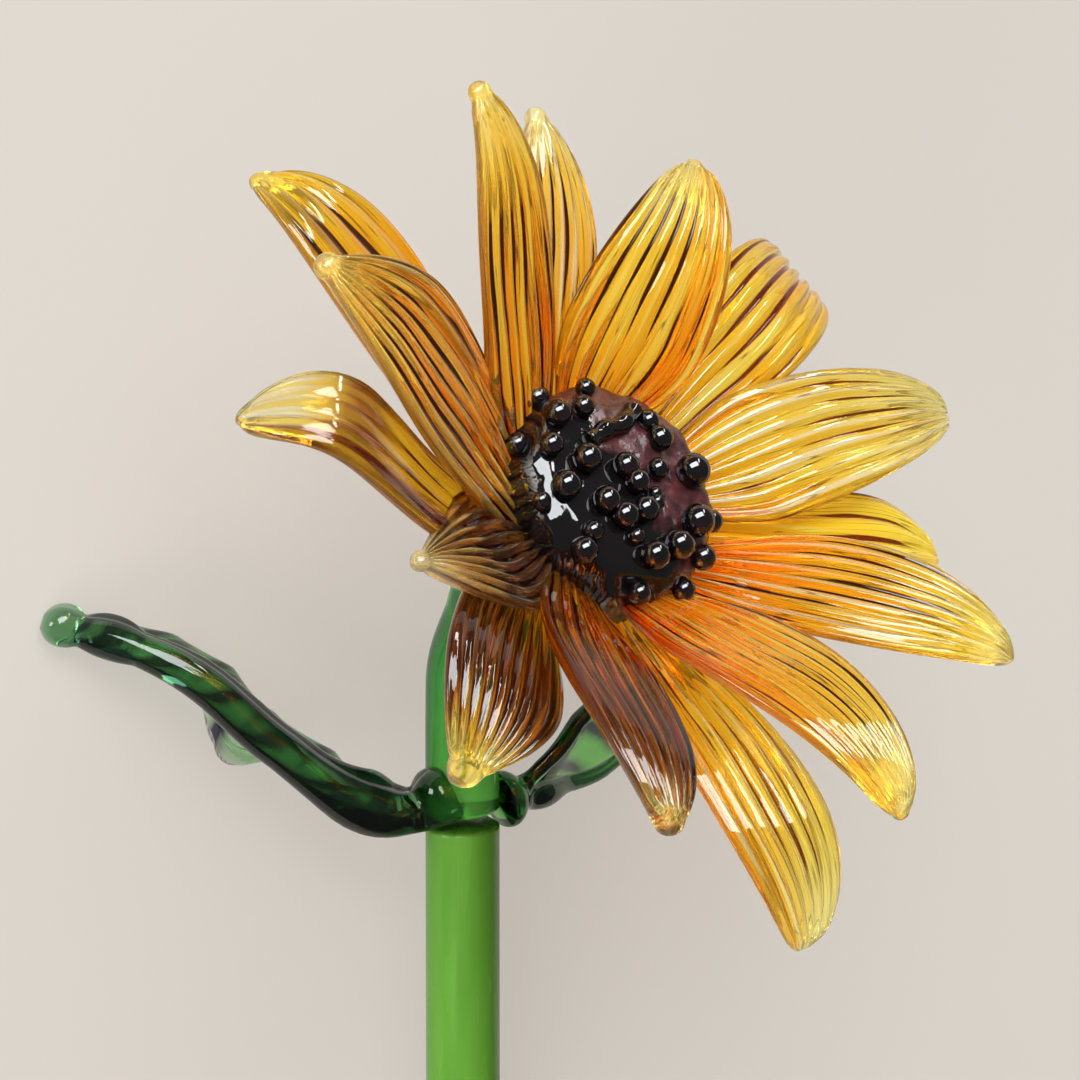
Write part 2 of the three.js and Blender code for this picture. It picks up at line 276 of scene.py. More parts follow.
def smoky_skin(finish, along, rib_phase, reed, skin, skin_from, skin_to, bare):
    """How much a smoky skin covers, which is worn in patches and ends in feathers."""
    worn = finish.streaks(along, rib_phase, *WORN_PATCHES)
    patches = finish.ramp(worn, [(0.40, grey(bare)), (0.5, WHITE)])
    crest = finish.maths("MULTIPLY", reed, SKIN_CREST)
    end = finish.maths("ADD", finish.maths("SUBTRACT", along, FEATHER_MIDDLE), crest)
    streaked = finish.maths("MULTIPLY", finish.streaks(along, rib_phase, *FEATHERS), FEATHER_LENGTH)
    feather = finish.maths("ADD", end, streaked)
    reach = finish.ramp(feather, [(max(skin_from, 0), grey(0.15)), (skin_from + 0.2, WHITE),
                                  (skin_to - 0.04, WHITE), (skin_to + 0.02, BLACK)])
    return finish.maths("MULTIPLY", finish.maths("MULTIPLY", patches, reach), skin)


def dark_lines(finish, along, rib_phase, reed, lines, shaft):
    """Where dark lines run in the ribs' valleys, broken here and there: partly painted shade, partly brown
    streaks.
    """
    line_breaks = finish.maths("MULTIPLY", finish.streaks(along, rib_phase, *LINE_BREAKS), LINE_BREAK_CONTRAST)
    crest = finish.maths("MULTIPLY", reed, LINE_CREST)
    gap = finish.maths("ADD", crest, finish.maths("SUBTRACT", line_breaks, LINE_BREAK_MIDDLE))
    valley = finish.ramp(gap, [(lines - 0.05, WHITE), (lines + 0.03, BLACK)])
    return finish.maths("MULTIPLY", valley, shaft)


def fine_threads(finish, flow, shaft):
    """Where threads of colour run, which are the flow's contours at half its height."""
    contour = finish.maths("ABSOLUTE", finish.maths("SUBTRACT", flow, 0.5))
    thread = finish.ramp(contour, [(0.005, WHITE), (0.014, BLACK)])
    return finish.maths("MULTIPLY", thread, finish.maths("MULTIPLY", shaft, THREAD_STRENGTH))


def painted_dark_outline(finish, across):
    """Painted shade: a dark outline right at a petal's two long edges."""
    outline_shade = finish.ramp(across, [(0.0, WHITE), (0.012, grey(0.5)), (0.03, BLACK),
                               (0.97, BLACK), (0.988, grey(0.5)), (1.0, WHITE)])
    return finish.maths("MULTIPLY", outline_shade, OUTLINE_SHADE_STRENGTH)


def amber_glass(name, body, line, light, lines, lights, low_edge=WHITE, high_edge=WHITE, skin=0,
                skin_from=0, skin_to=1, bare=0, narrow=1, lines_to=0.8, clouding=0.12):
    """Petal glass, drawn along its ribs.

    body holds its shades from root to tip, and low_edge and high_edge tint its two long
    edges. light is the colour of the painted highlights on the ribs' crests: a higher lights
    makes them fewer and a higher narrow thinner. line is the colour of the dark lines between
    the ribs and of thin threads, which both fade out beyond lines_to: a higher lines makes the
    dark lines wider. The dark lines are partly painted shade of the valleys and partly brown
    streaks in the glass. A smoky skin of the strength skin runs from about skin_from to
    skin_to, with the share bare left where it is worn. Lines, threads and skin are on the
    front face only.
    clouding is the share of light that the glass scatters.
    """
    finish = clear_glass(name, AMBER_DEPTH_TINT, clouding)
    along, across, rib_phase = finish.shape_reading()
    reed = finish.maths("ABSOLUTE", finish.maths("COSINE", rib_phase))
    shaft = finish.ramp(along, [(0.0, WHITE), (lines_to, WHITE), (lines_to + 0.17, BLACK)])
    flow = finish.streaks(along, across, *FLOW, detail=1.0)
    drift = finish.ramp(finish.streaks(along, across, *DRIFT), [(0.38, (1, 0.82, 0.5)), (0.55, WHITE)])

    shade = finish.ramp(along, [(place, through(*tint)) for place, tint in body])
    shade = finish.tinted(shade, edge_tint(finish, across, low_edge, high_edge))
    shade = finish.tinted(shade, drift)
    # Painted highlights on the ribs' crests, in the colour light
    painted_highlights = painted_crest_highlights(finish, along, rib_phase, reed, narrow, lights)
    shade = finish.mixed(painted_highlights, shade, through(*light))
    if skin:
        cover = smoky_skin(finish, along, rib_phase, reed, skin, skin_from, skin_to, bare)
        shade = finish.mixed(finish.on_front(cover), shade, SMOKE)
    # Dark lines in the ribs' valleys: partly painted shade, partly brown streaks in the glass
    valleys = dark_lines(finish, along, rib_phase, reed, lines, shaft)
    shade = finish.mixed(finish.on_front(valleys), shade, line)
    shade = finish.mixed(finish.on_front(fine_threads(finish, flow, shaft)), shade, line)
    # A painted dark outline at the long edges, standing for shade at the glass's edge
    shade = finish.mixed(painted_dark_outline(finish, across), shade, through(*OUTLINE_SHADE_BROWN))

    finish.feed("Base Color", shade)
    finish.feed("Roughness", finish.maths("MULTIPLY", flow, 0.02))
    finish.bumped(finish.streaks(along, across, *FINE_WAVES), 0.1, 0.0003)
    return finish.material


def waved(finish):
    """The slight waves that worked green glass keeps."""
    finish.bumped(finish.grain(260), 0.08, 0.0004)


def bottle_green_glass(name, thin, deep):
    """Leaf glass: green that grows dark with depth, with a darker skin where it is rolled and painted shade
    in its creases.
    """
    finish = clear_glass(name, (0.32, 0.56, 0.38))
    # The third number is how dark the leaf is: its roll, and painted shade in the creases of its ruffles
    along, across, rolled = finish.shape_reading()
    flow = finish.streaks(along, across, 5, 6)
    uneven = finish.maths("MULTIPLY", finish.maths("SUBTRACT", flow, 0.5), 0.7)
    depth = finish.maths("ADD", rolled, uneven)
    finish.feed("Base Color", finish.ramp(depth, [(0.05, thin), (0.65, deep)]))
    finish.feed("Roughness", finish.maths("MULTIPLY", flow, 0.03))
    waved(finish)
    return finish.material


def neck_glass(name):
    """The neck: bottle green behind the bloom, lighter and dull towards the weld, with painted shade along
    both sides.
    """
    finish = clear_glass(name, clouding=0.25)
    along, across, _ = finish.shape_reading()
    flow = finish.maths("MULTIPLY", finish.streaks(along, across, 4, 3), 0.16)
    reach = finish.maths("ADD", along, flow)
    shades = [(0.1, through(16, 66, 26)), (0.6, through(44, 120, 46)), (0.95, through(60, 130, 42)),
              (1.0, through(72, 140, 46))]
    # Painted shade darkening the rod along both its sides
    painted_edge_shade = finish.ramp(across, [(0.02, (0.3, 0.42, 0.34)), (0.22, WHITE), (0.85, WHITE),
                                (0.98, (0.4, 0.5, 0.42))])
    finish.feed("Base Color", finish.tinted(finish.ramp(reach, shades), painted_edge_shade))
    finish.feed("Roughness", finish.maths("MULTIPLY", flow, 0.4))
    waved(finish)
    return finish.material


def cloudy_green_glass(name):
    """The stem: cloudy grass green glass with a smooth drawn skin."""
    finish = Finish(name)
    along, across, _ = finish.shape_reading()
    cloud = finish.streaks(along, across, 3, 9)
    shades = [(0.3, colour(62, 107, 28)), (0.7, colour(73, 119, 36))]
    weld = finish.ramp(along, [(0.0, (0.3, 0.42, 0.3)), (0.002, WHITE)])
    finish.feed("Base Color", finish.tinted(finish.ramp(cloud, shades), weld))
    finish.feed("Roughness", finish.maths("ADD", finish.maths("MULTIPLY", cloud, 0.1), 0.22))
    finish.socket("IOR", 1.45)
    finish.bumped(finish.streaks(along, across, 12, 3), 0.1, 0.0002)
    return finish.material


def core_glass(name):
    """The core between the beads: glossy black, maroon to the right and brown down its side."""
    finish = Finish(name)
    down, right, _ = finish.shape_reading()
    lit = finish.maths("ADD", right, finish.maths("MULTIPLY", finish.grain(260, 3), 0.7))
    maroon = finish.ramp(lit, [(0.82, BLACK), (0.92, WHITE)])
    round_side = finish.ramp(down, [(0.42, BLACK), (0.50, WHITE)])
    fine = finish.grain(700, 3)
    dull = finish.ramp(fine, [(0.3, colour(38, 16, 18)), (0.7, colour(78, 36, 38))])
    side = finish.ramp(fine, [(0.3, colour(16, 10, 6)), (0.7, colour(50, 37, 20))])
    face = finish.mixed(maroon, colour(10, 8, 9), dull)
    finish.feed("Base Color", finish.mixed(round_side, face, side))
    rough = finish.maths("MAXIMUM", maroon, round_side)
    finish.feed("Roughness", finish.maths("ADD", finish.maths("MULTIPLY", rough, 0.26), 0.04))
    finish.socket("Specular IOR Level", 0.7)
    finish.bumped(finish.maths("MULTIPLY", finish.grain(800, 3), rough), 0.45, 0.0004)
    return finish.material


def bead_glass(name):
    """The beads: black glass with a trace of maroon."""
    finish = Finish(name)
    trace = finish.grain(500, 1)
    finish.feed("Base Color", finish.ramp(trace, [(0.45, colour(5, 4, 6)), (0.75, colour(22, 8, 11))]))
    finish.feed("Roughness", finish.maths("MULTIPLY", trace, 0.05))
    finish.socket("Specular IOR Level", 0.9)
    return finish.material


# Drops of glass

# A vertex this close to a unit ball's axis is one of its two poles
POLE_RING = 1e-5


def station_place(row, rows):
    """Rows lie closer together near a drop's two round ends."""
    return (1 - cos(pi * row / rows)) / 2


def rounded(distance, reach):
    """Share of its full size that a drop has at this distance from an end round over reach."""
    return min(1, (distance / reach) ** 0.5)


def ball_end(distance, radius):
    """Half thickness of a ball of glass at this distance from its outer end."""
    inside = max(radius ** 2 - (radius - distance) ** 2, 0)
    return inside ** 0.5


def drop(mesh, sides, rows, place, tint):
    """A unit ball whose rows become the stations of a drop of glass, root first.

    place(row, side, face, pole) gives the point, and tint(row, side, face) the three
    numbers that the glass's pattern reads there.
    """
    made = bmesh.ops.create_uvsphere(mesh, u_segments=sides, v_segments=rows, radius=1)
    pattern = mesh.verts.layers.float_color[PATTERN_LAYER]
    front = mesh.verts.layers.float[FRONT_LAYER]
    for vertex in made["verts"]:
        x, y, z = vertex.co
        row = round(acos(max(-1, min(1, z))) / pi * rows)
        ring = hypot(x, y)
        pole = ring < POLE_RING
        side, face = (0, 0) if pole else (x / ring, y / ring)
        vertex[pattern] = (*tint(row, side, face), 1)
        vertex[front] = 1 if face > 0 else 0
        vertex.co = place(row, side, face, pole)


def blank():
    """An empty mesh with the layers that a glass pattern reads."""
    mesh = bmesh.new()
    mesh.verts.layers.float_color.new(PATTERN_LAYER)
    mesh.verts.layers.float.new(FRONT_LAYER)
    return mesh


def piece(name, mesh, material, slot, *nodes):
    """Lays the mesh down in the frame, worn flat where it rests, to stand for its CAD nodes."""
    bmesh.ops.transform(mesh, matrix=LAY_DOWN, verts=mesh.verts)
    for vertex in mesh.verts:
        vertex.co.z = max(vertex.co.z, 0)
    bmesh.ops.recalc_face_normals(mesh, faces=mesh.faces)
    data = bpy.data.meshes.new(name)
    mesh.to_mesh(data)
    mesh.free()
    data.shade_smooth()
    data.materials.append(material)
    made = bpy.data.objects.new(name, data)
    bpy.context.scene.collection.objects.link(made)
    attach(made, "root")
    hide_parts(*nodes)


# Petals

# at is the clock angle of the root, turn how far the petal swings round by its tip, rise and
# tip its slopes above the bloom's face at root and tip, bend how late it turns over, or knee
# where it does so at once, and roll how it leans to one side. widest, blunt and root shape
# its outline, and nub is the radius of the ball at its tip. Petals 01 and 10 to 15 hold values
# that a program fitted to outlines read in the photograph, nearly all of them only rounded.
# The others repeat the part's source, where most were fitted too, apart from blunt, nub and
# the widest of petal_05.
FRONT_HEIGHT = -2
FRONT_ROW = {
    "petal_12": dict(at=176, turn=-20, length=28.5, width=15.2, rise=32, tip=-3, bend=3.7, roll=6,
                     widest=0.51, blunt=0.9, root=0.22, nub=1.1),
    "petal_10": dict(at=-156, turn=34.5, length=45.5, width=15, rise=34.5, tip=-23, bend=7.3, roll=-8.5,
                     widest=0.48, blunt=0.45, root=0.39, nub=1.6),
    "petal_14": dict(at=138.5, turn=-19.5, length=46.5, width=18.5, rise=40, tip=-8, bend=5.3, roll=-1,
                     widest=0.52, blunt=0.7, root=0.66, nub=1.4),
    "petal_01": dict(at=103.5, turn=-20, length=45.5, width=11.8, rise=49.5, tip=2.5, bend=5.9, roll=-4.5,
                     widest=0.32, blunt=0.5, root=0.76, nub=1.2),
    "petal_03": dict(at=50, turn=-20, length=35, width=16, rise=60, tip=-30, roll=-15, widest=0.4, nub=1),
    "petal_05": dict(at=-17, turn=-5, length=42, width=15.5, rise=20, tip=-25, roll=10, widest=0.35,
                     blunt=0.56),
    "petal_07": dict(at=-72, turn=5, length=41, width=14.5, rise=45, tip=-5, bend=3.5, widest=0.5, blunt=0.6),
    "petal_08": dict(at=-110, turn=10, length=45, width=15, rise=45, tip=-25, bend=4, widest=0.4, blunt=0.44,
                     nub=1),
}
BACK_HEIGHT = -4.5
BACK_ROW = {
    "petal_02": dict(at=71, turn=-5, length=37, width=13, rise=40, tip=5, roll=10, nub=1.2),
    "petal_04": dict(at=12, turn=-10, length=45, width=15, rise=20, tip=-70, blunt=0.45),
    "petal_06": dict(at=-43, turn=15, length=40, width=14.5, rise=10, tip=-25, widest=0.65, blunt=0.55),
    "petal_09": dict(at=-112, turn=10, length=46, width=14.5, rise=20, tip=-55, bend=4, widest=0.65,
                     blunt=0.5),
    "petal_11": dict(at=-174.5, turn=28, length=40.5, width=15.8, rise=29, tip=-74, bend=5.2, roll=-8,
                     widest=0.7, blunt=0.68, root=0.32, nub=1.9),
    "petal_13": dict(at=163.5, turn=-45, length=53.5, width=10.2, rise=34.5, tip=-63, knee=0.82,
                     widest=0.72, blunt=0.42, root=0.66, nub=1),
    "petal_15": dict(at=113.5, turn=-21, length=45, width=16, rise=20.5, tip=-64, bend=6, roll=8,
                     widest=0.58, blunt=0.54, root=0.5, nub=1.2),
}
PETAL_SIDES = 160
PETAL_ROWS = 60
PETAL_ROOT = 10.5
ROOT_SUNK = 1.6
ROOT_FULLNESS = 1.3
PETAL_THICK = 3.2
PETAL_END_THICK = 0.6
PETAL_CUP = 0.15
FACE_FULLNESS = 0.8
PETAL_ROUND_END = 2
RIB_DEPTH = 0.34
# Depth of the valleys between ribs, when the whole height of a rib is 2
RIB_VALLEY = 1.2
# Where along the petal the ribs reach their full depth, and the power by which they fade
# towards its long edges
RIBS_FULL_FROM = 0.15
RIB_EDGE = 8
# The ribs' course wanders in two waves: how wide each is, its radians along the petal, and
# how many times the petal's own shift it starts at
RIB_WANDER = ((0.045, 5, 1), (0.02, 13, 2))
PETAL_SHIFT = 1.7
# Ripples of a whole petal: depth, and steps of noise along it and for half its width
RIPPLE_DEPTH = 0.35
RIPPLE_PITCH = (3.5, 1.2)
NUB_STANDS_OUT = 0.6
SPINE_STEPS = 3
KNEE_SPREAD = 0.035


def petal_spine(at, length, rise, tip, turn=0, bend=3, knee=0, roll=0, height=0):
    """Point, direction, across and outward direction of a petal at each row."""
    def slope(t):
        bent = 1 / (1 + exp((knee - t) / KNEE_SPREAD)) if knee else t ** bend
        return radians(rise + (tip - rise) * bent)

    def clock(t):
        return radians(at + turn * t)

    def aim(t):
        flat = cos(slope(t))
        return Vector((flat * cos(clock(t)), flat * sin(clock(t)), sin(slope(t))))

    point = Vector((PETAL_ROOT * cos(clock(0)), PETAL_ROOT * sin(clock(0)), height)) - aim(0) * ROOT_SUNK
    spine = []
    for row in range(PETAL_ROWS + 1):
        t = station_place(row, PETAL_ROWS)
        along = aim(t)
        across = Vector((-sin(clock(t)), cos(clock(t)), 0))
        across.rotate(Matrix.Rotation(radians(roll), 3, along))
        spine.append((t, point.copy(), along, across, along.cross(across)))
        step = (station_place(row + 1, PETAL_ROWS) - t) / SPINE_STEPS
        for k in range(SPINE_STEPS):
            point += aim(t + (k + 0.5) * step) * (length + ROOT_SUNK) * step
    return spine


def petal_half_width(t, width, widest, blunt, root):
    if t < widest:
        share = root + (1 - root) * sin(t / widest * pi / 2) ** ROOT_FULLNESS
    else:
        share = max(cos((t - widest) / (1 - widest) * pi / 2), 0) ** blunt
    return width / 2 * share


def make_petal(name, height, material, ribs, rib_depth, width, widest=0.58, blunt=0.62, root=0.36, nub=0,
               **shape):
    """A flattened drop of glass with ribs on both faces and a small round nub at its tip."""
    spine = petal_spine(height=height, **shape)
    length = shape["length"]
    seed = PETAL_SHIFT * int(name[-2:])

    def rib_phase(t, side):
        wander = sum(wide * sin(rate * t + shifts * seed) for wide, rate, shifts in RIB_WANDER)
        return pi / 2 * ribs * (side + wander)

    def place(row, side, face, pole):
        t, point, along, across, out = spine[row]
        if pole:
            return HEAD @ point
        end = (1 - t) * length
        ball = ball_end(end, nub)
        stands_out = NUB_STANDS_OUT * nub
        blade = min(t * length / (length - stands_out), 1)
        half_width = max(petal_half_width(blade, width, widest, blunt, root), ball)
        rounding = rounded(max(end - stands_out, 0), PETAL_ROUND_END)
        thick = PETAL_THICK / 2 * min(1, PETAL_END_THICK + PETAL_END_THICK * sin(pi * t)) * rounding
        ribbed = rib_depth * min(1, t / RIBS_FULL_FROM) * rounding * (1 - side ** RIB_EDGE)
        thick += ribbed * (2 * abs(cos(rib_phase(t, side))) - RIB_VALLEY)
        full = abs(face) ** FACE_FULLNESS * (1 if face > 0 else -1)
        spot = (seed, RIPPLE_PITCH[0] * t, RIPPLE_PITCH[1] * side)
        ripple = RIPPLE_DEPTH * noise.noise(spot) * sin(pi * t)
        bow = PETAL_CUP * half_width * side * side
        return HEAD @ (point + across * side * half_width + out * (full * max(thick, ball) + bow + ripple))

    def tint(row, side, face):
        t = spine[row][0]
        return (t, 0.5 + 0.5 * side, rib_phase(t, side))

    mesh = blank()
    drop(mesh, PETAL_SIDES, PETAL_ROWS, place, tint)
    piece("glass_" + name, mesh, material, "amber_glass", name)


# Petal colours, as they show before the pale floor
GOLD = (251, 190, 36)
# PALE serves as a pale tint and as a painted highlight colour
PALE = (253, 222, 88)
CLEAR = (250, 238, 164)
AMBER = (240, 140, 14)
BROWN = (140, 60, 14)
# The next three are colours of painted highlights on the ribs' crests
STRAW_HIGHLIGHT = (255, 242, 168)
HONEY_HIGHLIGHT = (255, 212, 60)
BLUSH_HIGHLIGHT = (255, 234, 190)
# Colours of the dark valley lines, which are partly painted shade, and of the threads
BROWN_LINE = on_one_face(124, 58, 10)
DARK_LINE = on_one_face(70, 32, 14)
DEEP_EDGE = (1, 0.66, 0.22, 1)
BROWN_EDGE = (0.5, 0.24, 0.16, 1)
SMOKE = on_one_face(96, 62, 66)

# For each petal: its shades from root to tip, its painted highlights, its dark lines (partly
# painted shade) and skin, as amber_glass takes them, and the number and depth of its ribs
PETAL_GLASS = {
    "petal_01": dict(
        body=[(0.05, BROWN), (0.2, (238, 124, 14)), (0.6, (252, 168, 26)), (0.8, (253, 208, 72)), (1, CLEAR)],
        line=DARK_LINE, light=(255, 206, 60), lines=0.7, lights=0.74, lines_to=0.7, ribs=6),
    "petal_02": dict(
        body=[(0.05, AMBER), (0.4, (252, 174, 28)), (0.8, (253, 210, 80)), (1, CLEAR)],
        line=DARK_LINE, light=BLUSH_HIGHLIGHT, lines=0.62, lights=0.78, narrow=3, ribs=6, clouding=0.16),
    "petal_03": dict(
        body=[(0.05, (236, 120, 10)), (0.35, GOLD), (0.7, (253, 206, 58)), (1, CLEAR)],
        line=DARK_LINE, light=PALE, lines=0.62, lights=0.78, narrow=3, ribs=7, low_edge=DEEP_EDGE),
    "petal_04": dict(
        body=[(0.05, (248, 172, 18)), (0.5, (252, 196, 36)), (0.8, (253, 212, 62)), (0.9, (216, 144, 34)),
              (1, (236, 176, 60))],
        line=BROWN_LINE, light=PALE, lines=0.64, lights=0.78, ribs=6, clouding=0.18),
    "petal_05": dict(
        body=[(0.05, (246, 146, 18)), (0.25, (254, 200, 34)), (0.6, (254, 220, 76)), (1, CLEAR)],
        line=BROWN_LINE, light=BLUSH_HIGHLIGHT, lines=0.5, lights=0.74, narrow=6, ribs=7, clouding=0.15),
    "petal_06": dict(
        body=[(0.05, (248, 160, 16)), (0.5, (254, 202, 26)), (0.85, (254, 220, 64)), (1, PALE)],
        line=BROWN_LINE, light=PALE, lines=0.55, lights=0.84, ribs=5, clouding=0.34),
    "petal_07": dict(
        body=[(0.03, (214, 78, 8)), (0.2, (244, 132, 14)), (0.5, (252, 188, 30)), (0.85, (252, 218, 78)),
              (1, CLEAR)],
        line=DARK_LINE, light=BLUSH_HIGHLIGHT, lines=0.62, lights=0.78, narrow=4, ribs=8),
    "petal_08": dict(
        body=[(0.05, BROWN), (0.2, (232, 120, 12)), (0.5, (250, 174, 26)), (0.8, (251, 212, 76)), (1, CLEAR)],
        line=DARK_LINE, light=PALE, lines=0.63, lights=0.8, narrow=2, ribs=10, low_edge=DEEP_EDGE),
    "petal_09": dict(
        body=[(0.1, (246, 154, 18)), (0.4, (253, 206, 42)), (0.75, (254, 226, 88)), (1, CLEAR)],
        line=BROWN_LINE, light=STRAW_HIGHLIGHT, lines=0.57, lights=0.8, narrow=3, ribs=7, low_edge=DEEP_EDGE,
        clouding=0.14),
    "petal_10": dict(
        body=[(0.05, (110, 44, 14)), (0.3, (220, 96, 16)), (0.6, (214, 92, 20)), (0.84, (210, 140, 60)),
              (0.93, CLEAR)],
        line=DARK_LINE, light=(250, 160, 36), lines=0.68, lights=0.78, ribs=8, skin=0.86, skin_from=0.32,
        skin_to=0.93, bare=0.4, high_edge=BROWN_EDGE, clouding=0.06),
    "petal_11": dict(
        body=[(0.05, BROWN), (0.3, (240, 152, 18)), (0.6, (196, 92, 16)), (0.82, (200, 120, 40)),
              (0.92, (246, 224, 120)), (1, CLEAR)],
        line=DARK_LINE, light=(254, 196, 40), lines=0.68, lights=0.8, ribs=9, skin=0.92, skin_from=0.26,
        skin_to=0.84, bare=0.75, clouding=0.08),
    "petal_12": dict(
        body=[(0.1, (200, 150, 122)), (0.5, (216, 152, 96)), (0.76, (250, 172, 66)), (0.97, (255, 240, 186))],
        line=DARK_LINE, light=(255, 214, 110), lines=0.72, lights=0.8, ribs=9, rib_depth=0.7, skin=0.86,
        skin_from=-0.2, skin_to=0.74, bare=0.75, clouding=0.15),
    "petal_13": dict(
        body=[(0.05, BROWN), (0.2, (253, 184, 28)), (0.6, (252, 184, 34)), (0.7, (110, 50, 20)),
              (0.77, (130, 64, 26)), (0.82, (240, 198, 96)), (0.87, (252, 246, 224))],
        line=DARK_LINE, light=HONEY_HIGHLIGHT, lines=0.6, lights=0.74, lines_to=0.6, ribs=4, rib_depth=0.08,
        high_edge=(0.3, 0.1, 0.06, 1), clouding=0.06),
    "petal_14": dict(
        body=[(0.05, (200, 90, 12)), (0.3, (248, 140, 14)), (0.65, (252, 168, 24)), (0.9, (253, 208, 84)),
              (1, CLEAR)],
        line=DARK_LINE, light=(255, 214, 90), lines=0.74, lights=0.7, ribs=8, rib_depth=0.42, clouding=0.15),
    "petal_15": dict(
        body=[(0.2, (238, 132, 8)), (0.6, (252, 172, 14)), (0.85, (250, 196, 46)), (1, PALE)],
        line=DARK_LINE, light=HONEY_HIGHLIGHT, lines=0.63, lights=0.8, ribs=4, rib_depth=0.2, clouding=0.09),
}

for height, row in ((FRONT_HEIGHT, FRONT_ROW), (BACK_HEIGHT, BACK_ROW)):
    for name, shape in row.items():
        finish = PETAL_GLASS[name]
        ribs = finish.pop("ribs")
        rib_depth = finish.pop("rib_depth", RIB_DEPTH)
        make_petal(name, height, amber_glass("amber_" + name, **finish), ribs, rib_depth, **shape)


# Seed head

# The core's outline as radius and height, from the middle of its back round to its top
DISC_PROFILE = [
    (0, -8.5), (8.5, -8.5), (12, -7), (12.8, -4.5), (12.8, 0.5), (12.6, 3), (11.8, 4.9), (10.3, 6),
    (7.8, 6.5), (4.4, 6.9), (0, 7.1),
]
# Beads on the dome: millimetres right of and above the bloom's middle as the viewer sees
# them, and radius
BEADS = [
    (-7.4, 11.2, 1.3), (-5.0, 9.1, 1.4), (-2.0, 12.0, 1.05), (-2.4, 10.1, 1.15), (4.7, 8.7, 1.15),
    (5.8, 6.7, 1.4), (-8.9, 5.9, 1.2), (-5.8, 5.9, 1.25), (-2.1, 4.4, 1.5), (2.1, 3.7, 1.35),
    (5.6, 3.4, 1.15), (9.2, 3.1, 1.8), (3.3, 2.0, 1.3), (-4.3, 1.5, 1.5), (-6.6, 0.0, 1.0),
    (0.0, 0.0, 1.4), (5.4, 0.8, 0.75), (5.6, -0.1, 0.8), (4.2, -1.0, 1.4), (2.0, -1.6, 1.4),
    (-1.3, -3.2, 1.05), (-2.2, -5.1, 1.4), (9.6, -2.3, 1.75), (11.3, -2.1, 1.2), (7.7, -4.8, 1.55),
    (5.1, -5.9, 1.5), (10.2, -5.9, 1.35), (3.3, -3.8, 0.9), (3.6, -9.3, 1.2), (8.7, -9.9, 1.25),
    (10.1, -10.8, 0.75),
]
# A thread of black glass that was let run between beads, given in the same way
BLACK_THREAD = [(3.1, 10.1), (2.5, 9.0), (1.4, 8.2), (0.1, 7.8), (-1.1, 7.0), (-2.1, 6.3)]
THREAD_RADIUS = 1.0
DISC_CENTRE = Vector((-0.8, 0.2, 0))
DISC_SIDES = 112
DISC_ROWS = 72
DISC_EDGE = 12.6
# Lumps of the core: noise steps in each millimetre of the broad and the small ones, strength
# of the small ones, and how far they swell the core out and up
LUMP_PITCH = 0.33
SMALL_LUMP_PITCH = 0.8
SMALL_LUMPS = 0.45
LUMP_SWELL = 0.035
LUMP_RISE = 0.45
# Above this height the glass ran smooth to the left: how much so at the middle, over how
# many millimetres it goes from not at all to fully, and how much lower the lumps are there
POOL_LEVEL = 4
POOL_AT_MIDDLE = 0.6
POOL_FADE = 9
POOL_CALM = 0.35
BEAD_SIDES = 28
BEAD_ROWS = 18
BEAD_LIFT = 0.6
BEAD_SWELL = 1.1
BEAD_SQUASH = 0.95
BEAD_UNEVEN = 0.2
# The thread bulges a little, at this rate in radians along it, and fills out fast at its ends
THREAD_SIDES = 24
THREAD_ROWS = 48
THREAD_LIFT = 0.75
THREAD_BULGE = 0.12
THREAD_BULGE_RATE = 19
THREAD_ENDS = 3
# Steps of a curve between two of its points, and the least length that one is counted as
CURVE_STEPS = 24
SHORTEST = 1e-9
# A bead's seat is found in this many steps, each this share of what is left, and the dome's
# slope there is measured this far to either side
SEAT_STEPS = 40
SEAT_PACE = 0.3
SLOPE_REACH = 0.4


def dome_height(radius):
    """Height of the dome at this distance from its middle."""
    dome = [spot for spot in DISC_PROFILE if spot[1] >= 0][::-1]
    for (r0, h0), (r1, h1) in zip(dome, dome[1:]):
        if radius <= r1:
            return h0 + (h1 - h0) * (radius - r0) / (r1 - r0)
    return dome[-1][1]


def route(points, rows, evenly=False):
    """Stations along a smooth curve through the points, with the direction at each."""
    ends = [2 * points[0] - points[1], *points, 2 * points[-1] - points[-2]]
    fine = []
    for a, b, c, d in zip(ends, ends[1:], ends[2:], ends[3:]):
        for k in range(CURVE_STEPS):
            s = k / CURVE_STEPS
            fine.append(0.5 * (2 * b + (c - a) * s + (2 * a - 5 * b + 4 * c - d) * s * s
                               + (3 * b - a - 3 * c + d) * s ** 3))
    fine.append(points[-1].copy())
    reach = [0]
    for before, after in zip(fine, fine[1:]):
        reach.append(reach[-1] + (after - before).length)
    stations = []
    k = 0
    for row in range(rows + 1):
        t = row / rows if evenly else station_place(row, rows)
        goal = t * reach[-1]
        while k < len(fine) - 2 and reach[k + 1] < goal:
            k += 1
        share = (goal - reach[k]) / max(reach[k + 1] - reach[k], SHORTEST)
        stations.append((t, fine[k].lerp(fine[k + 1], share), (fine[k + 1] - fine[k]).normalized()))
    return stations


def seat_on_dome(right, top):
    """The point of the dome that the viewer sees at this place, and the way out of it."""
    facing = Matrix(((head_u.x, head_v.x), (head_u.dot(view_up), head_v.dot(view_up)))).inverted()
    height = DISC_PROFILE[-1][1]
    for _ in range(SEAT_STEPS):
        u, v = facing @ Vector((right - height * head_axis.x, top - height * head_axis.dot(view_up)))
        place = Vector((u, v, 0)) - DISC_CENTRE
        radius = min(place.length, DISC_EDGE)
        height += SEAT_PACE * (dome_height(radius) - height)
    inner = dome_height(max(radius - SLOPE_REACH, 0))
    outer = dome_height(min(radius + SLOPE_REACH, DISC_EDGE))
    slope = (inner - outer) / (2 * SLOPE_REACH)
    across = place.normalized()
    seat = DISC_CENTRE + across * radius
    seat.z = height
    return seat, Vector((across.x * slope, across.y * slope, 1)).normalized()


